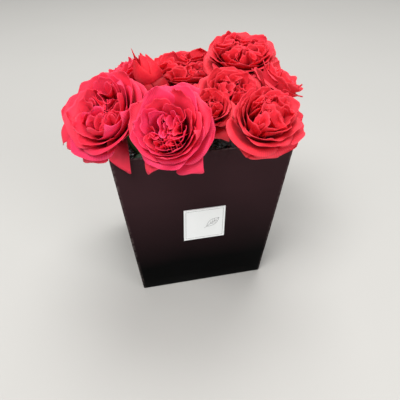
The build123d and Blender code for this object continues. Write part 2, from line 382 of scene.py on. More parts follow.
def piece(name, points, quads, body, slot, replaced=(), weld=False, **attributes):
    """A named piece on a body, with its finish and its own values at each point."""
    mesh = bpy.data.meshes.new(name)
    mesh.vertices.add(len(points))
    mesh.vertices.foreach_set("co", np.ascontiguousarray(points, np.float32).ravel())
    mesh.loops.add(quads.size)
    mesh.loops.foreach_set("vertex_index", np.ascontiguousarray(quads, np.int32).ravel())
    mesh.polygons.add(len(quads))
    mesh.polygons.foreach_set("loop_start", np.arange(0, quads.size, 4, dtype=np.int32))
    mesh.polygons.foreach_set("use_smooth", np.ones(len(quads), bool))
    mesh.update(calc_edges=True)
    for key, values in attributes.items():
        made = mesh.attributes.new(key, "FLOAT", "POINT")
        made.data.foreach_set("value", np.ascontiguousarray(values, np.float32).ravel())
    if weld:
        weld_mesh(mesh)
    made = bpy.data.objects.new(name, mesh)
    bpy.context.scene.collection.objects.link(made)
    mesh.materials.append(FINISH[slot])
    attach(made, body)
    if replaced:
        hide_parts(*replaced)


def weld_mesh(mesh):
    """Merges the points that share a place, as at a pole."""
    work = bmesh.new()
    work.from_mesh(mesh)
    bmesh.ops.remove_doubles(work, verts=work.verts, dist=1e-6)
    work.to_mesh(mesh)
    work.free()


def read(rows, what, width):
    """One value of every row of a mesh's vertices or faces."""
    values = np.empty(len(rows) * width, np.float32)
    rows.foreach_get(what, values)
    return values.reshape(-1, width)


def ease(x, low, high):
    """0 below low, 1 above high, smooth between."""
    t = np.clip((x - low) / (high - low), 0.0, 1.0)
    return t * t * (3 - 2 * t)


# ---------------------------------------------------------------- rose heads
class Head:
    """Where a rose's head is: the flat disc under its CAD bloom, and its size."""

    def __init__(self, name):
        mesh = frame["nodes"][name + "_bloom"].data
        corners = read(mesh.vertices, "co", 3)
        normals = read(mesh.polygons, "normal", 3)
        centres = read(mesh.polygons, "center", 3)
        areas = read(mesh.polygons, "area", 1).ravel()
        kinds, which = np.unique(np.round(normals, 2), axis=0, return_inverse=True)
        which = which.ravel()
        flat = which == np.bincount(which, areas).argmax()
        self.name = name
        self.axis = -np.average(normals[flat], axis=0, weights=areas[flat])
        self.axis /= np.linalg.norm(self.axis)
        self.collar = np.average(centres[flat], axis=0, weights=areas[flat])
        offset = corners - self.collar
        rise = offset @ self.axis
        self.depth = rise.max()
        self.radius = np.linalg.norm(offset - rise[:, None] * self.axis, axis=1).max()
        right = np.cross((0, 0, 1), self.axis)
        self.right = right / np.linalg.norm(right)
        self.up = np.cross(self.axis, self.right)

    def out(self, local):
        """Points from the head's own axes (right, up the face, outwards) to the frame."""
        return self.collar + local @ np.stack([self.right, self.up, self.axis])


# A head's width at each height, and the height of its top at each distance from its axis, all as
# shares of its radius and depth.
OUTLINE = np.array([(0.0, 0.2), (0.15, 0.62), (0.4, 0.9), (0.64, 1.0), (0.84, 0.95), (0.98, 0.70),
                    (1.0, 0.6)])
DOME = np.array([(0.0, 0.95), (0.40, 0.97), (0.60, 0.96), (0.75, 0.93), (0.87, 0.86), (0.95, 0.74),
                 (1.02, 0.60)])
GOLDEN = radians(137.5)
PETAL = 0.40 * MM
HEART_PETAL = 0.38 * MM
BUD_PETAL = 0.45 * MM
SHOULDER = 0.9  # past this share of the head's radius a guard petal's sides run parallel


def each(values):
    """One value for each petal, against its rows and columns."""
    return np.asarray(values)[:, None, None]


def spiral_petals(rng, count, last, wide=1.0, ruffle=1.0, point=1.0):
    """Open petals set round the head's axis at the golden angle, from the outermost in. Seen from
    the side, each follows a cubic curve out of the base, up and outwards to a rim on the head's
    dome, where it rolls back. Its top edge drops towards the corners and has a point, and ripples
    grow towards it. last is the rim radius of the innermost. All lengths are shares of the head's
    radius and depth."""
    rows, columns = 19, 23
    order = np.arange(count)
    inner = order / (count - 1)

    turn = each(rng.uniform(0, 2 * pi) + order * GOLDEN + rng.normal(0, 0.13, count))
    reach = each((1.02 - (1.02 - last) * inner**0.85) * rng.uniform(0.96, 1.03, count))
    height = np.interp(reach, DOME[:, 0], DOME[:, 1]) * each(rng.uniform(0.95, 1.02, count))
    half = each((1.02 - 0.36 * inner) * wide * rng.uniform(0.85, 1.12, count))
    inner = each(inner)
    u = np.linspace(-1, 1, columns)[None, None, :]
    v = np.linspace(0, 1, rows)[None, :, None] ** 0.85
    drop = each(rng.uniform(0.14, 0.30, count))
    square = each(rng.uniform(2.2, 4.5, count))
    peak = each(rng.uniform(-0.5, 0.5, count))
    tip = each(rng.uniform(0.01, 0.10, count)) * point
    phase = each(rng.uniform(0, 2 * pi, count))
    waves = each(rng.uniform(1.2, 2.4, count))
    s = v * (1 - drop * np.abs(u) ** square + tip * np.exp(-(((u - peak) / 0.22) ** 2)))
    t = 1 - s
    r = 0.08 * t**3 + 3 * 0.42 * reach * t**2 * s
    r = r + 3 * (0.80 + 0.15 * inner) * reach * t * s**2 + reach * s**3
    z = 0.04 * t**3 + 3 * (0.04 + 0.14 * inner) * t**2 * s
    z = z + 3 * (0.68 - 0.1 * inner) * height * t * s**2 + height * s**3
    lip = ease(s, 0.72, 1.02) ** 1.6
    roll = 0.13 * (1 - inner) ** 1.5 + 0.03
    swing = np.sin(waves * pi * u + phase) + 0.55 * s**2 * np.sin(2.6 * waves * pi * u + 1.7 * phase)
    fold = (0.036 - 0.014 * inner) * ruffle * s**2 * swing
    r = r + 0.35 * roll * lip + fold * 0.7 + each(rng.uniform(0.0, 0.06, count)) * u * s
    z = z - roll * lip * (1 + 0.8 * np.abs(u - peak) ** 2) + fold * 0.6
    z = z + each(rng.normal(0, 0.02, count)) * u * s
    angle = turn + half * u * (0.28 + 0.72 * np.sin(pi / 2 * np.clip(v / 0.66, 0, 1)))
    points = np.stack([r * np.cos(angle), r * np.sin(angle), z + 0 * angle], -1)
    return points, np.broadcast_to(v, r.shape), np.broadcast_to(u, r.shape)


def guard_petals(rng, guards):
    """Square-cornered outer petals hanging under the head. Each follows a cubic curve out of the
    base, up over its shoulder and down to its rim, and dips a little between its two corners. Past
    the shoulder its sides run parallel, along its lean. guards lists bearings in degrees, reaches
    and rim heights and, where they aren't the usual ones, half angles in radians, how much longer
    the side at the higher bearing is, and leans in degrees."""
    rows, columns, count = 17, 15, len(guards)
    usual = (0.50, 0.0, 0.0)
    full = np.array([(*guard, *usual[len(guard) - 3:]) for guard in guards])
    bearing, reach, low, half, slant, lean = full.T

    turn = each(np.radians(bearing) + rng.normal(0, 0.04, count))
    reach = each(reach * rng.uniform(0.98, 1.02, count))
    low = each(low)
    half = each(half * rng.uniform(0.92, 1.08, count))
    slant = each(slant + rng.uniform(-0.04, 0.04, count))
    lean = turn + each(np.radians(lean))
    phase = each(rng.uniform(0, 2 * pi, count))
    u = np.linspace(-1, 1, columns)[None, None, :]
    v = np.linspace(0, 1, rows)[None, :, None]
    s = v * (0.93 + 0.10 * np.abs(u) ** 1.5 - 0.09 * np.abs(u) ** 8 + slant * u)
    t = 1 - s
    r = 0.10 * t**3 + 3 * 0.50 * t**2 * s + 3 * 0.96 * reach * t * s**2 + reach * s**3
    r = r * (1 + 1.4 * slant * u * v**2)
    z = 0.01 * t**3 + 3 * 0.10 * t**2 * s + 3 * 0.52 * t * s**2 + low * s**3
    wave = 0.022 * s**2 * np.sin(3.4 * u + phase)
    angle = turn + half * u * (0.35 + 0.65 * np.sin(pi / 2 * np.clip(v / 0.6, 0, 1)))
    r = r + wave
    shoulder = np.minimum(r, SHOULDER)
    points = np.stack([shoulder * np.cos(angle) + (r - shoulder) * np.cos(lean),
                       shoulder * np.sin(angle) + (r - shoulder) * np.sin(lean),
                       z + wave - 0.05 * u**2 * s], -1)
    return points, np.broadcast_to(v, r.shape), np.broadcast_to(u, r.shape)


def folded_petals(rng, fans):
    """Heart petals folded like hairpins, closed end inwards. The fold's plan runs in from its left
    end, round near the middle and out to its right end, and its wall rises from deep in the head
    to a flared, rippled rim. fans lists each fan's centre, bearing, inner and outer radius,
    opening angle and rim height."""
    rows, columns = 12, 25
    place_x, place_y, bearing, inner, outer, opening, height = np.array(fans).T[..., None, None]
    count = len(place_x)
    u = np.linspace(-1, 1, columns)[None, None, :]
    v = np.linspace(0, 1, rows)[None, :, None]
    phase = rng.uniform(0, 2 * pi, (count, 1, 1))
    waves = rng.uniform(0.8, 1.9, (count, 1, 1))
    twist = rng.uniform(-0.35, 0.35, (count, 1, 1))
    run = np.sqrt(u**2 + 0.02)
    radius = inner + (outer - inner) * run
    angle = bearing + opening * np.tanh(2.0 * u) / np.tanh(2.0) * (1 - 0.2 * run) + twist * run
    angle = angle + 0.10 * np.sin(3 * u + phase)
    plan_x = radius * np.cos(angle) + place_x
    plan_y = radius * np.sin(angle) + place_y
    dx = np.gradient(plan_x, axis=-1)
    dy = np.gradient(plan_y, axis=-1)
    size = np.sqrt(dx**2 + dy**2) + 1e-9
    flare = 0.09 * v**2.4 + 0.030 * v**3 * np.sin(waves * pi * u * 1.7 + phase)
    x = plan_x - dy / size * flare
    y = plan_y + dx / size * flare
    rim = height - 0.12 * np.abs(u) ** 3 + 0.030 * np.sin(2.2 * waves * pi * u + phase)
    low = 0.30 + 0.1 * run
    z = low + (rim - low) * v
    points = np.stack([x, y, z + 0 * x], -1)
    return points, np.broadcast_to(v, x.shape), np.broadcast_to(u, x.shape)


def heart_fans(rng, quarters, folds, outer, height, scatter):
    """Fans of nested folds round the heart, and a few loose folds in the very middle."""
    fans = []
    first = rng.uniform(0, 2 * pi)
    for q in range(quarters):
        bearing = first + q * 2 * pi / quarters + rng.normal(0, 0.18)
        room = pi / quarters
        for k in range(folds):
            share = k / folds
            fans.append((rng.normal(0, scatter), rng.normal(0, scatter), bearing + rng.normal(0, 0.10),
                         0.07 + outer * 0.66 * share, outer * rng.uniform(0.86, 1.05),
                         room * (1.02 - 0.78 * share), height * rng.uniform(0.90, 1.02)))
    loose = 4
    for _ in range(loose):
        fans.append((rng.normal(0, 0.05), rng.normal(0, 0.05), rng.uniform(0, 2 * pi), 0.0,
                     outer * rng.uniform(0.28, 0.50), rng.uniform(0.6, 1.1),
                     height * rng.uniform(0.86, 0.98)))
    return fans


def petal_piece(name, head, points, along, across, rng, slot, thick, replaced=(), shade=0.0):
    """One piece of closed petals, from shares of the head's radius and depth. Each petal has its
    own tint, and thins towards its rim."""
    placed = head.out(points * np.array([head.radius, head.radius, head.depth]))
    verts, quads = shells(placed, thick * (1.0 - 0.45 * along**2))
    tint = np.clip(rng.uniform(0.0, 1.0, (len(points), 1, 1)) - shade, -1, 1) + 0 * along
    values = on_both_faces(along=along, across=across * 0.5 + 0.5, tint=tint)
    piece(name, verts, quads, head.name, slot, replaced, **values)


def within_outline(local, spread):
    """Draws in what stands out of the head's outline to about a third as far, and stretches the
    head to its own width and height."""
    flat = np.linalg.norm(local[..., :2], axis=-1)
    room = np.interp(local[..., 2], OUTLINE[:, 0], OUTLINE[:, 1]) * 1.03
    squeeze = np.where(flat > room, (room + 0.35 * (flat - room)) / np.maximum(flat, 1e-9), 1.0)
    return local * np.stack([squeeze * spread[0], squeeze * spread[1], np.ones_like(squeeze)], -1)


# Open petals: how many, rim radius of the innermost, width, ruffle, point.
# Heart: quarters, folds, outer radius, rim height, scatter, how far to the right and up it sits.
# Head: sideways and upward stretch, then a shift to the right and up.
STYLES = {
    "rose_front_left": ((18, 0.52, 1.04, 0.9, 2.0), (4, 3, 0.50, 0.95, 0.06, 0.66, 0.04),
                        (1.26, 1.13, -0.10, 0.20)),
    "rose_front": ((25, 0.40, 0.94, 0.8, 2.2), (5, 3, 0.40, 0.90, 0.06, 0.02, -0.50),
                   (0.97, 1.02, 0.0, 0.17)),
    "rose_front_right": ((20, 0.50, 1.0, 1.2, 1.4), (5, 3, 0.50, 1.0, 0.07, -0.05, 0.30),
                         (1.33, 0.87, -0.12, 0.08)),
    "rose_centre": ((20, 0.50, 1.0, 1.0, 1.2), (4, 3, 0.50, 0.92, 0.05, 0.12, 0.0),
                    (1.14, 1.04, -0.03, -0.12)),
    "rose_right": ((16, 0.55, 1.08, 0.9, 0.8), (4, 3, 0.58, 0.94, 0.05, 0.0, 0.0),
                   (1.05, 1.05, 0.0, 0.0)),
    "rose_inner": ((16, 0.50, 1.0, 1.0, 1.4), (4, 2, 0.50, 0.90, 0.05, 0.0, 0.0),
                   (1.05, 1.0, 0.0, 0.0)),
    "rose_back_right": ((17, 0.64, 1.0, 1.4, 1.6), (5, 3, 0.66, 0.95, 0.07, 0.0, 0.0),
                        (1.12, 0.98, -0.05, -0.08)),
    "rose_back": ((15, 0.66, 1.0, 1.4, 1.5), (6, 3, 0.68, 0.96, 0.07, 0.0, -0.1),
                  (1.36, 0.98, 0.04, -0.12)),
    "rose_back_left": ((16, 0.55, 1.0, 1.2, 1.4), (4, 3, 0.58, 0.95, 0.05, 0.0, 0.0),
                       (1.06, 1.0, 0.0, 0.0)),
    "rose_middle": ((14, 0.55, 1.0, 1.0, 1.4), (4, 2, 0.58, 0.94, 0.05, 0.0, 0.0),
                    (1.15, 1.15, 0.0, 0.0)),
}

# Guard petals of each rose: bearing in degrees from its right, reach and rim height, then perhaps
# half angle, how much longer its side at the higher bearing is, and lean in degrees.
GUARDS = {
    "rose_front_left": ((-159, 1.36, 0.28, 0.44, 0.05, 18), (-124, 1.16, 0.27, 0.42, -0.10),
                        (-82, 1.02, 0.30, 0.4, -0.03), (150, 1.04, 0.4), (60, 1.06, 0.3),
                        (20, 1.02, 0.3)),
    "rose_front": ((-56, 1.13, 0.27, 0.42, 0.12, -26), (-117, 1.09, 0.27, 0.32, -0.08, 38),
                   (82, 1.06, 0.45, 0.34, -0.02), (128, 1.04, 0.45, 0.4, 0.0)),
    "rose_front_right": ((-166, 0.90, 0.34, 0.42, 0.03), (-122, 0.94, 0.34, 0.42, 0.03),
                         (-72, 1.00, 0.36, 0.42, 0.0), (-20, 1.00, 0.40), (32, 0.96, 0.4)),
    "rose_centre": ((-150, 1.12, 0.20), (-100, 1.14, 0.15), (-45, 1.14, 0.20), (200, 1.05, 0.3)),
    "rose_right": ((-140, 1.08, 0.25), (-90, 1.08, 0.25), (-30, 1.02, 0.28), (100, 1.05, 0.4),
                   (170, 1.05, 0.4)),
    "rose_inner": ((-62, 1.22, 0.10, 0.4, 0.1), (-125, 1.15, 0.18), (-10, 1.15, 0.2)),
    "rose_back_right": ((-150, 1.08, 0.24), (-100, 1.12, 0.16), (-50, 1.12, 0.20), (0, 1.06, 0.3),
                        (180, 1.06, 0.3)),
    "rose_back": ((-155, 1.10, 0.10), (-110, 1.14, 0.05), (-80, 1.00, 0.05, 0.36, 0.0),
                  (180, 1.0, 0.3)),
    "rose_back_left": ((-130, 1.05, 0.2), (-80, 1.08, 0.2), (-20, 1.15, 0.15), (25, 1.2, 0.10),
                       (70, 1.3, 0.10), (115, 1.25, 0.10), (160, 1.05, 0.4)),
    "rose_middle": ((-160, 1.3, 0.10), (-100, 1.3, 0.10), (-30, 1.3, 0.10), (40, 1.25, 0.1),
                    (120, 1.3, 0.1)),
    "rosebud": ((60, 1.30, -0.10, 0.7), (-10, 1.20, -0.16, 0.7), (-70, 1.40, -0.16, 0.6),
                (125, 1.5, -0.02, 0.6)),
}


def open_rose(name, seed):
    """An open garden rose: hanging guard petals, a spiral of open petals and a folded heart."""
    head = Head(name)
    rng = np.random.default_rng(seed)
    spiral, (quarters, folds, outer, height, scatter, aside, above), spread = STYLES[name]
    slot = SLOTS[name + "_bloom"]

    def placed(points):
        """Slides the upper middle of the head aside, stretches the head, then shifts its top."""
        far = np.linalg.norm(points[..., :2], axis=-1)
        share = np.clip(1 - far, 0, 1) * points[..., 2]
        shift = np.stack([share * aside, share * above, 0 * share], -1)
        lean = np.array([spread[2], spread[3], 0]) * points[..., 2:]
        return within_outline(points, spread) + shift + lean

    points, along, across = spiral_petals(rng, *spiral)
    petal_piece(name + "_petals", head, placed(points), along, across, rng, slot, PETAL,
                [name + "_bloom"])
    points, along, across = folded_petals(rng, heart_fans(rng, quarters, folds, outer, height, scatter))
    petal_piece(name + "_heart", head, placed(points), along, across, rng, slot, HEART_PETAL)
    points, along, across = guard_petals(rng, GUARDS[name])
    points[..., :2] = points[..., :2] * spread[:2] + np.array(spread[2:]) * points[..., 2:]
    petal_piece(name + "_guards", head, points, along, across, rng, slot, PETAL, shade=0.25)


def corner_petal():
    """The guard petal that hangs over the box's front left corner. Its midline is a quadratic curve
    from under the head, over the rim, to its foot in front of the wall. It widens to square
    corners and cups forward."""
    rows, columns = 20, 15
    u = np.linspace(-1, 1, columns)[None, None, :, None]
    v = np.linspace(0, 1, rows)[None, :, None, None]
    root = np.array([-74.0, -62.0, 196.0]) * MM
    over = np.array([-82.0, -97.0, 207.0]) * MM
    foot = np.array([-81.0, -95.5, 175.5]) * MM
    side = np.array([15.5, -0.6, -9.5]) / 18.2
    wide = 10.8 * MM * (0.30 + 0.70 * np.sin(pi / 2 * np.clip(v / 0.75, 0, 1)))
    s = v * (1 + 0.05 * u - 0.05 * np.abs(u) ** 6)
    line = (1 - s) ** 2 * root + 2 * s * (1 - s) * over + s**2 * foot
    cup = 1.6 * MM * (u**2 - 0.4) * v + 0.6 * MM * np.sin(5 * u + 2 * v) * v
    points = line + u * wide * side + cup * np.array([0.0, -1.0, -0.1])
    along = np.broadcast_to(v[..., 0], points.shape[:-1])
    across = np.broadcast_to(u[..., 0] * 0.5 + 0.5, points.shape[:-1])
    verts, quads = shells(points, PETAL)
    values = on_both_faces(along=along * 0.7, across=across, tint=0 * along - 0.6)
    piece("rose_front_left_corner_petal", verts, quads, "rose_front_left", "pink_red_petals",
          **values)


# Petals of the bud, from the outermost: bearing in degrees, half angle, and how far a narrow point
# stands up from its rim.
BUD_PETALS = ((-16, 1.10, 0.0), (108, 1.22, 0.0), (-108, 1.20, 0.26), (60, 1.15, 0.0),
              (-170, 1.15, 0.0), (-50, 1.1, 0.0), (90, 1.0, 0.0))


def closed_bud(name, seed):
    """A bud of broad petals wrapped about the axis, each a little inside the last. Seen from the
    side each follows the bud's outline from a narrow foot to a nearly closed mouth. Its top is
    round, one edge stands off the petal under it, and the whole bud leans over as it rises."""
    head = Head(name)
    rng = np.random.default_rng(seed)
    rows, columns, count = 26, 31, len(BUD_PETALS)
    bearing, half, point = np.array(BUD_PETALS).T[..., None, None]
    u = np.linspace(-1, 1, columns)[None, None, :]
    v = np.linspace(0, 1, rows)[None, :, None]
    order = np.arange(count)[:, None, None]
    full = np.array([0.30, 0.66, 0.92, 1.04, 1.06, 1.00, 0.88, 0.70, 0.50])
    s = v * (1 - 0.40 * np.abs(u) ** 3.2)
    lip = ease(s, 0.78, 1.0)
    r = np.interp(s, np.linspace(0, 1, len(full)), full) * (1 - 0.105 * order)
    r = r + lip * 0.06 * (order < 4) * (1 + 0.5 * np.sin(3 * u + 2 * order))
    r = r + (0.07 * u + 0.03 * u**2) * s
    z = 0.02 + s * (0.88 + 0.02 * order + 0.02 * np.sin(3 * u + order))
    z = z + point * v**3 * np.exp(-((u / 0.14) ** 2))
    angle = np.radians(bearing) + half * u * (0.55 + 0.45 * np.sin(pi * np.clip(v * 0.9, 0, 1)))
    lean = 0.25 * v**2
    points = np.stack([r * np.cos(angle), r * np.sin(angle) - lean, z + 0 * angle], -1)
    along = np.broadcast_to(v, r.shape)
    slot = SLOTS[name + "_bloom"]
    across = np.broadcast_to(u, r.shape)
    petal_piece(name + "_petals", head, points, along, across, rng, slot, BUD_PETAL,
                [name + "_bloom"])
    points, along, across = guard_petals(rng, GUARDS[name])
    # The bud's guards are coloured deeper (along scaled down, tint lowered): painted shade for the dark
    # gap under the bud.
    petal_piece(name + "_guards", head, points, along * 0.62, across, rng, slot, PETAL, shade=0.4)


# ---------------------------------------------------------------- calyces
HIP_RADIUS = 5.5 * MM
HIP_DROP = 6.0 * MM
NECK_RADIUS = 4.0 * MM
SEPAL_LENGTH = 16.0 * MM
SEPAL_WIDTH = 5.6 * MM
SEPAL_TIP = 0.25 * MM  # half width
SEPAL = 0.6 * MM


def calyx(name, seed):
    """A round hip narrowing to a neck, a surface of revolution, with five sepals. A sepal's width
    swells and tapers along a midrib that starts level and bends down in an arc."""
    head = Head(name)
    rng = np.random.default_rng(seed)
    rows, columns = 14, 20
    t = np.linspace(0, 1, rows)[:, None]
    angle = np.linspace(0, 2 * pi, columns, endpoint=False)[None, :]
    rise = -HIP_DROP - HIP_RADIUS + t * (HIP_DROP + HIP_RADIUS - 0.3 * MM)
    bulge = np.sqrt(np.clip(1 - ((rise + HIP_DROP) / HIP_RADIUS) ** 2, 0, 1)) * HIP_RADIUS
    radius = np.maximum(bulge, np.where(rise > -HIP_DROP, NECK_RADIUS, 0.0)) * (t < 1) * (t > 0)
    radius = radius * (1 + 0.03 * np.cos(5 * angle))
    hip = np.stack([radius * np.cos(angle), radius * np.sin(angle), rise + 0 * angle], -1)
    hip_quads = grid_quads(rows, columns, wrap=True)
    rows, columns, count = 13, 7, 5
    v = np.linspace(0, 1, rows)[None, :, None]
    u = np.linspace(-1, 1, columns)[None, None, :]
    turn = (np.arange(count) * 2 * pi / count + rng.normal(0, 0.05, count))[:, None, None]
    bend = (rng.uniform(1.7, 2.2, count))[:, None, None]
    wide = SEPAL_WIDTH / 2 * (0.35 + 0.65 * np.sin(pi * np.clip(v * 1.25, 0, 1) ** 0.8)) * (1 - v**3)
    wide = np.maximum(wide, SEPAL_TIP)
    run = 3.5 * MM + SEPAL_LENGTH * np.sin(bend * v) / bend
    fall = -1.0 * MM - SEPAL_LENGTH * (1 - np.cos(bend * v)) / bend - 0.8 * MM * u**2 * (1 - v)
    side = wide * u
    sepals = np.stack([run * np.cos(turn) - side * np.sin(turn),
                       run * np.sin(turn) + side * np.cos(turn), fall + 0 * side], -1)
    leaf, leaf_quads = shells(head.out(sepals), SEPAL)
    verts = np.concatenate([head.out(hip).reshape(-1, 3), leaf])
    quads = np.concatenate([hip_quads, leaf_quads + hip[..., 0].size])
    piece(name + "_sepals", verts, quads, name, "green_sepal", [name + "_calyx"], weld=True)


# ---------------------------------------------------------------- box and film
def wall_half_widths(node):
    """A tapered node's half width at its lowest and highest points, and those two heights."""
    corners = read(frame["nodes"][node].data.vertices, "co", 3)
    low, high = corners[:, 2].min(), corners[:, 2].max()
    at_low = np.abs(corners[corners[:, 2] < low + 0.05 * MM, 0]).max()
    at_high = np.abs(corners[corners[:, 2] > high - 0.05 * MM, 0]).max()
    return at_low, at_high, low, high


def square_ring(half, corner, straight=9, arc=6):
    """Points round a square with rounded corners, for arrays of half widths and corner radii: each
    side's points, with one close to each end, then the quarter circle to the next side. Also each
    point's closeness to a corner, 0 to 1."""
    half = np.asarray(half)[..., None]
    corner = np.asarray(corner)[..., None]
    rows = []
    near = []
    for k in range(4):
        line = np.concatenate([[-1.0], np.linspace(-0.975, 0.975, straight - 2), [1.0]])
        turn = np.linspace(-pi / 2, 0, arc + 2)[1:-1]
        side_x = line * (half - corner)
        side_y = -half + 0 * side_x
        arc_x = (half - corner) + corner * np.cos(turn)
        arc_y = -(half - corner) + corner * np.sin(turn)
        x = np.concatenate([side_x, arc_x], -1)
        y = np.concatenate([side_y, arc_y], -1)
        c, s = np.cos(k * pi / 2), np.sin(k * pi / 2)
        rows.append(np.stack([x * c - y * s, x * s + y * c], -1))
        near.append(np.concatenate([[0.8], np.zeros(straight - 2), [0.8], np.ones(arc)]))
    return np.concatenate(rows, -2), np.concatenate(near)


def closed_sweep(name, profile, corner, body, slot, replaced, roughen, **attributes):
    """A square tube of closed section. The section's points are (half width, height), in order, and
    the last joins the first. Each is carried round a square with rounded corners."""
    half, height = np.array(profile).T
    ring, near = square_ring(half, np.minimum(corner, half))
    points = np.concatenate([ring, np.broadcast_to(height[:, None, None], (*ring.shape[:2], 1))], -1)
    points = points + roughen(points)
    rows, columns = points.shape[:2]
    closed = np.concatenate([np.arange(rows), [0]])
    quads = grid_quads(rows + 1, columns, wrap=True)
    quads = closed[quads // columns] * columns + quads % columns
    values = {key: np.broadcast_to(make(near, half, height), (rows, columns))
              for key, make in attributes.items()}
    piece(name, points.reshape(-1, 3), quads, body, slot, replaced, **values)


def box_wrap():
    """The covering paper: up the outside, over the rim, a short way down the inside and back, and
    a short way in under the base."""
    at_low, at_high, low, high = wall_half_widths("outer_wrap")
    slope = (at_high - at_low) / (high - low)
    paper = 0.3 * MM
    inner = 2.85 * MM
    turn_in = 15.0 * MM

    def half(inset, z):
        return at_low + slope * (z - low) - inset

    levels = np.linspace(1.2 * MM, high - 1.2 * MM, 14)
    outside = [(0.35 * MM, low + 0.12 * MM)] + [(0.0, z) for z in levels]
    rim = [(0.12 * MM, high - 0.5 * MM), (0.45 * MM, high - 0.12 * MM), (0.9 * MM, high),
           (inner - 0.8 * MM, high), (inner - 0.35 * MM, high - 0.12 * MM),
           (inner - 0.1 * MM, high - 0.45 * MM), (inner, high - 1.0 * MM)]
    inside = [(inner, high - turn_in), (inner - paper, high - turn_in)]
    back = [(inner - paper, high - 1.0 * MM), (inner - paper - 0.2 * MM, high - paper - 0.05 * MM),
            (0.6 * MM, high - paper - 0.05 * MM), (paper, high - 1.1 * MM)]
    back += [(paper, z) for z in levels[::-1]] + [(paper + 0.3 * MM, low + paper + 0.05 * MM)]
    under = [(turn_in, low + paper), (turn_in, low), (1.0 * MM, low)]
    section = [(half(inset, z), z) for inset, z in outside + rim + inside + back + under]

    def warp(points):
        """Board is never quite flat: a slow wave of a tenth of a millimetre."""
        x, y, z = points[..., 0], points[..., 1], points[..., 2]
        swell = 0.12 * MM * np.sin(38 * x + 21 * z) * np.sin(31 * y + 1.0) * np.sin(pi * z / high)
        side = np.abs(x) > np.abs(y)
        front = np.abs(y) > np.abs(x)
        return np.stack([swell * np.sign(x) * side, swell * np.sign(y) * front, 0 * z], -1)

    def fold(near, half_width, height):
        """How near each point is to an upright edge or to the outer side of the rim, where the paper's
        finish paints a pale highlight.
        """
        outer = half_width > half(1.5 * MM, high)
        top = ease(height, high - 1.4 * MM, high - 0.3 * MM) * outer
        return np.maximum(near[None, :] * 0.9, top[:, None])

    corner = 1.1 * MM
    closed_sweep("covering_paper", section, corner, "box", "black_paper", ["outer_wrap"], warp,
                 fold=fold)


def crumple(points, rng):
    """Creased film: a sum of folded waves. Each is the absolute sine of the distance along its own
    direction, and the longer its pitch, the higher it is."""
    total = np.zeros(points.shape[:-1])
    waves = 9
    for _ in range(waves):
        direction = rng.normal(size=3)
        direction /= np.linalg.norm(direction)
        pitch = rng.uniform(6, 26) * MM
        phase = rng.uniform(0, 2 * pi)
        folded = 0.5 - np.abs(np.sin(pi * (points @ direction) / pitch + phase))
        total += folded * pitch / (12 * MM)
    return total


def film_tray():
    """The film: a tray under and round the foam, gathered above it and tucked in over it. From the
    middle of the floor the sheet runs out, up the wall and back in. Beside the foam it is
    stretched flat. Above it, it creases. The tuck is deep at the front right, the right and the
    back and shallow at the front left, where it leaves the watering space open."""
    at_low, at_high, low, high = wall_half_widths("film_liner")
    foam_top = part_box("foam_upper_front")[1].z
    rng = np.random.default_rng(FILM_SEED)
    thick = 0.28 * MM
    inset = 0.25 * MM  # of the sheet's middle from the tray's outside
    wall_top = foam_top + 7.5 * MM
    tuck_height = 2.2 * MM
    wave_height = 0.8 * MM
    slope = (at_high - at_low) / (high - low)
    floor_steps, wall_steps, tuck_steps = 8, 44, 27
    floor = np.linspace(0.0, 1.0, floor_steps)
    wall = np.linspace(0.0, 1.0, wall_steps + 1)[1:]
    tuck = np.linspace(0.0, 1.0, tuck_steps + 1)[1:]
    half = np.concatenate([floor * (at_low - inset), at_low - inset + slope * wall * (wall_top - low)])
    height = low + inset + np.concatenate([0 * floor, wall * (wall_top - low - inset)])
    free = ease(height, foam_top + 0.3 * MM, wall_top)
    ring, near = square_ring(half, np.minimum(0.4 * MM + 6 * MM * free, half), straight=37, arc=6)
    wrapped = np.concatenate([ring, np.broadcast_to(height[:, None, None], (*ring.shape[:2], 1))], -1)
    edge = ring[-1]
    depth = MM * np.interp(np.degrees(np.arctan2(edge[:, 1], edge[:, 0])),
                           (-180, -172, -141, -132, -108, -92, 90, 135, 160, 180),
                           (27, 27, 24, 9, 9, 76, 76, 60, 42, 27))
    inward = edge[None] * (1 - tuck[:, None] * depth / half[-1])[..., None]
    droop = wall_top - (wall_top - foam_top - tuck_height) * ease(tuck, 0.0, 0.35)
    tucked = np.concatenate([inward, np.broadcast_to(droop[:, None, None], (*inward.shape[:2], 1))], -1)
    points = np.concatenate([wrapped, tucked])
    waves = np.clip(crumple(points, rng), -1.6, 1.6)
    on_wall = np.concatenate([0 * floor, 1 + 0 * wall, 0 * tuck])[:, None]
    free = np.concatenate([free, 1 + 0 * tuck])[:, None]
    outward = edge / np.linalg.norm(edge, axis=1, keepdims=True)
    points[..., :2] += outward * ((waves * (0.05 + free) - free) * on_wall * wave_height)[..., None]
    points[..., 2] += np.maximum(waves, -0.9) * free * (1.6 - on_wall) * MM
    rows, columns = points.shape[:2]
    closed = np.concatenate([points[:, -1:], points, points[:, :1]], 1)
    normal = surface_normals(closed)[:, 1:-1]
    normal[0] = (0, 0, -1)
    verts = np.concatenate([points + normal * thick / 2, points - normal * thick / 2]).reshape(-1, 3)
    grid = grid_quads(rows, columns, wrap=True)
    size = rows * columns
    last = np.arange(columns) + (rows - 1) * columns
    after = np.roll(last, -1)
    rim = np.stack([last, after, after + size, last + size], -1)
    quads = np.concatenate([grid, grid[:, ::-1] + size, rim])
    piece("film_tray", verts, quads, "insert", "black_film", ["film_liner"], weld=True)


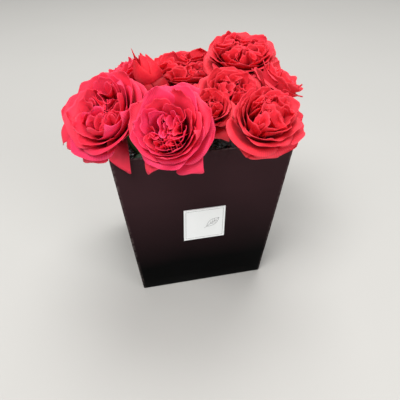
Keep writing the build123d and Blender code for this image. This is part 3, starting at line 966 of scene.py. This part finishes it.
# ---------------------------------------------------------------- label
def label_leaf():
    """A plain leaf drawn in thin foil: an outline of two arcs, a midrib and side veins, each a flat
    ribbon along a curve."""
    low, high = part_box("label_plate")
    at_low, at_high, z_low, z_high = wall_half_widths("outer_wrap")
    lean = np.arctan2(at_high - at_low, z_high - z_low)
    outward = np.array([0.0, -np.cos(lean), -np.sin(lean)])
    upward = np.array([0.0, -np.sin(lean), np.cos(lean)])
    stand_off = 0.62 * MM  # from the middle of the card's thickness
    middle = np.array([0.0, (low.y + high.y) / 2, (low.z + high.z) / 2]) + outward * stand_off
    size = 8.5 * MM
    line = 0.35 * MM
    foil = 0.10 * MM
    v = np.linspace(0, 1, 25)
    strokes = []
    for side in (-1, 1):
        strokes.append(np.stack([size * (2 * v - 1), side * size * 0.46 * np.sin(pi * v) ** 0.9], -1))
    strokes.append(np.stack([size * (2.35 * v - 1.35), 0 * v], -1))
    for share in (0.30, 0.45, 0.60):
        for side in (-1, 1):
            start = size * (2 * share - 1)
            reach = size * 0.34 * np.sin(pi * share)
            strokes.append(np.stack([start + reach * 1.1 * v, side * reach * v**1.2], -1))
    ribbons = []
    for stroke in strokes:
        tangent = np.gradient(stroke, axis=0)
        tangent /= np.linalg.norm(tangent, axis=1, keepdims=True)
        across = np.stack([-tangent[:, 1], tangent[:, 0]], -1)
        u = np.array([-0.5, 0.0, 0.5])[None, :, None] * line
        ribbons.append(stroke[:, None, :] + across[:, None, :] * u)
    flat = np.array(ribbons)
    turn = radians(38)
    x = flat[..., 0] * np.cos(turn) - flat[..., 1] * np.sin(turn) + 9.0 * MM
    y = flat[..., 0] * np.sin(turn) + flat[..., 1] * np.cos(turn) + 1.0 * MM
    points = middle + x[..., None] * np.array([1.0, 0, 0]) + y[..., None] * upward
    verts, quads = shells(points, foil)
    piece("label_leaf", verts, quads, "box", "grey_foil")


# ---------------------------------------------------------------- assemble
for node, shown in frame["nodes"].items():
    shown.data.materials.clear()
    shown.data.materials.append(FINISH[SLOTS[node]])
box_wrap()
film_tray()
label_leaf()
corner_petal()
for number, rose in enumerate(ROSES):
    if rose == "rosebud":
        closed_bud(rose, HEAD_SEED + number)
    else:
        open_rose(rose, HEAD_SEED + number)
    calyx(rose, CALYX_SEED + number)


# ---------------------------------------------------------------- stage
FLOOR_SIZE = 8.0
SKY_LIGHT = 0.27
SKY_SEEN = 0.40  # added where the camera sees the sky itself
LAMPS_AIM = (0, 0, 0.15)
# Name, place, size in metres and power in watts.
LAMPS = (("key", (-1.3, -1.4, 3.0), 1.6, 108.0), ("top", (0.5, 1.1, 3.2), 2.2, 78.0),
         ("fill", (1.7, -3.1, 1.3), 2.0, 64.0))


def studio():
    """A pale floor, a dim even sky, and soft lamps above at the left, above at the back, and lower
    in front at the right."""
    bpy.ops.mesh.primitive_plane_add(size=FLOOR_SIZE, location=(0, 0, 0))
    ground = bpy.context.object
    ground.name = "floor"
    ground.data.materials.append(floor_finish())
    world = bpy.data.worlds.new("studio")
    bpy.context.scene.world = world
    world.use_nodes = True
    sky = world.node_tree.nodes["Background"]
    sky.inputs["Color"].default_value = (1.0, 0.995, 0.98, 1.0)
    seen = world.node_tree.nodes.new("ShaderNodeLightPath")
    level = world.node_tree.nodes.new("ShaderNodeMath")
    level.operation = "MULTIPLY_ADD"
    level.inputs[1].default_value = SKY_SEEN
    level.inputs[2].default_value = SKY_LIGHT
    world.node_tree.links.new(seen.outputs["Is Camera Ray"], level.inputs[0])
    world.node_tree.links.new(level.outputs[0], sky.inputs["Strength"])
    for name, place, size, power in LAMPS:
        lamp = bpy.data.lights.new(name, "AREA")
        lamp.size = size
        lamp.energy = power
        made = bpy.data.objects.new(name, lamp)
        made.location = place
        aim = Vector(LAMPS_AIM) - Vector(place)
        made.rotation_euler = aim.to_track_quat("-Z", "Y").to_euler()
        bpy.context.scene.collection.objects.link(made)


CAMERA_PLACE = (-0.0872, -0.4587, 0.3739)
CAMERA_HEADING = -12.35  # degrees, from +Y towards -X
CAMERA_DOWN = 33.25
CAMERA_ROLL = -0.69


def camera():
    """The view: from in front at the left, above the bunch, with a slight roll."""
    lens = bpy.data.cameras.new("camera")
    lens.sensor_width = 36.0
    lens.lens = 40.58
    made = bpy.data.objects.new("camera", lens)
    heading = Matrix.Rotation(radians(CAMERA_HEADING), 4, "Z")
    tilt = Matrix.Rotation(radians(90 - CAMERA_DOWN), 4, "X")
    roll = Matrix.Rotation(radians(CAMERA_ROLL), 4, "Z")
    made.matrix_world = Matrix.Translation(CAMERA_PLACE) @ heading @ tilt @ roll
    bpy.context.scene.collection.objects.link(made)
    bpy.context.scene.camera = made


studio()
camera()
bpy.context.scene.view_settings.view_transform = "Standard"
bpy.context.view_layer.update()
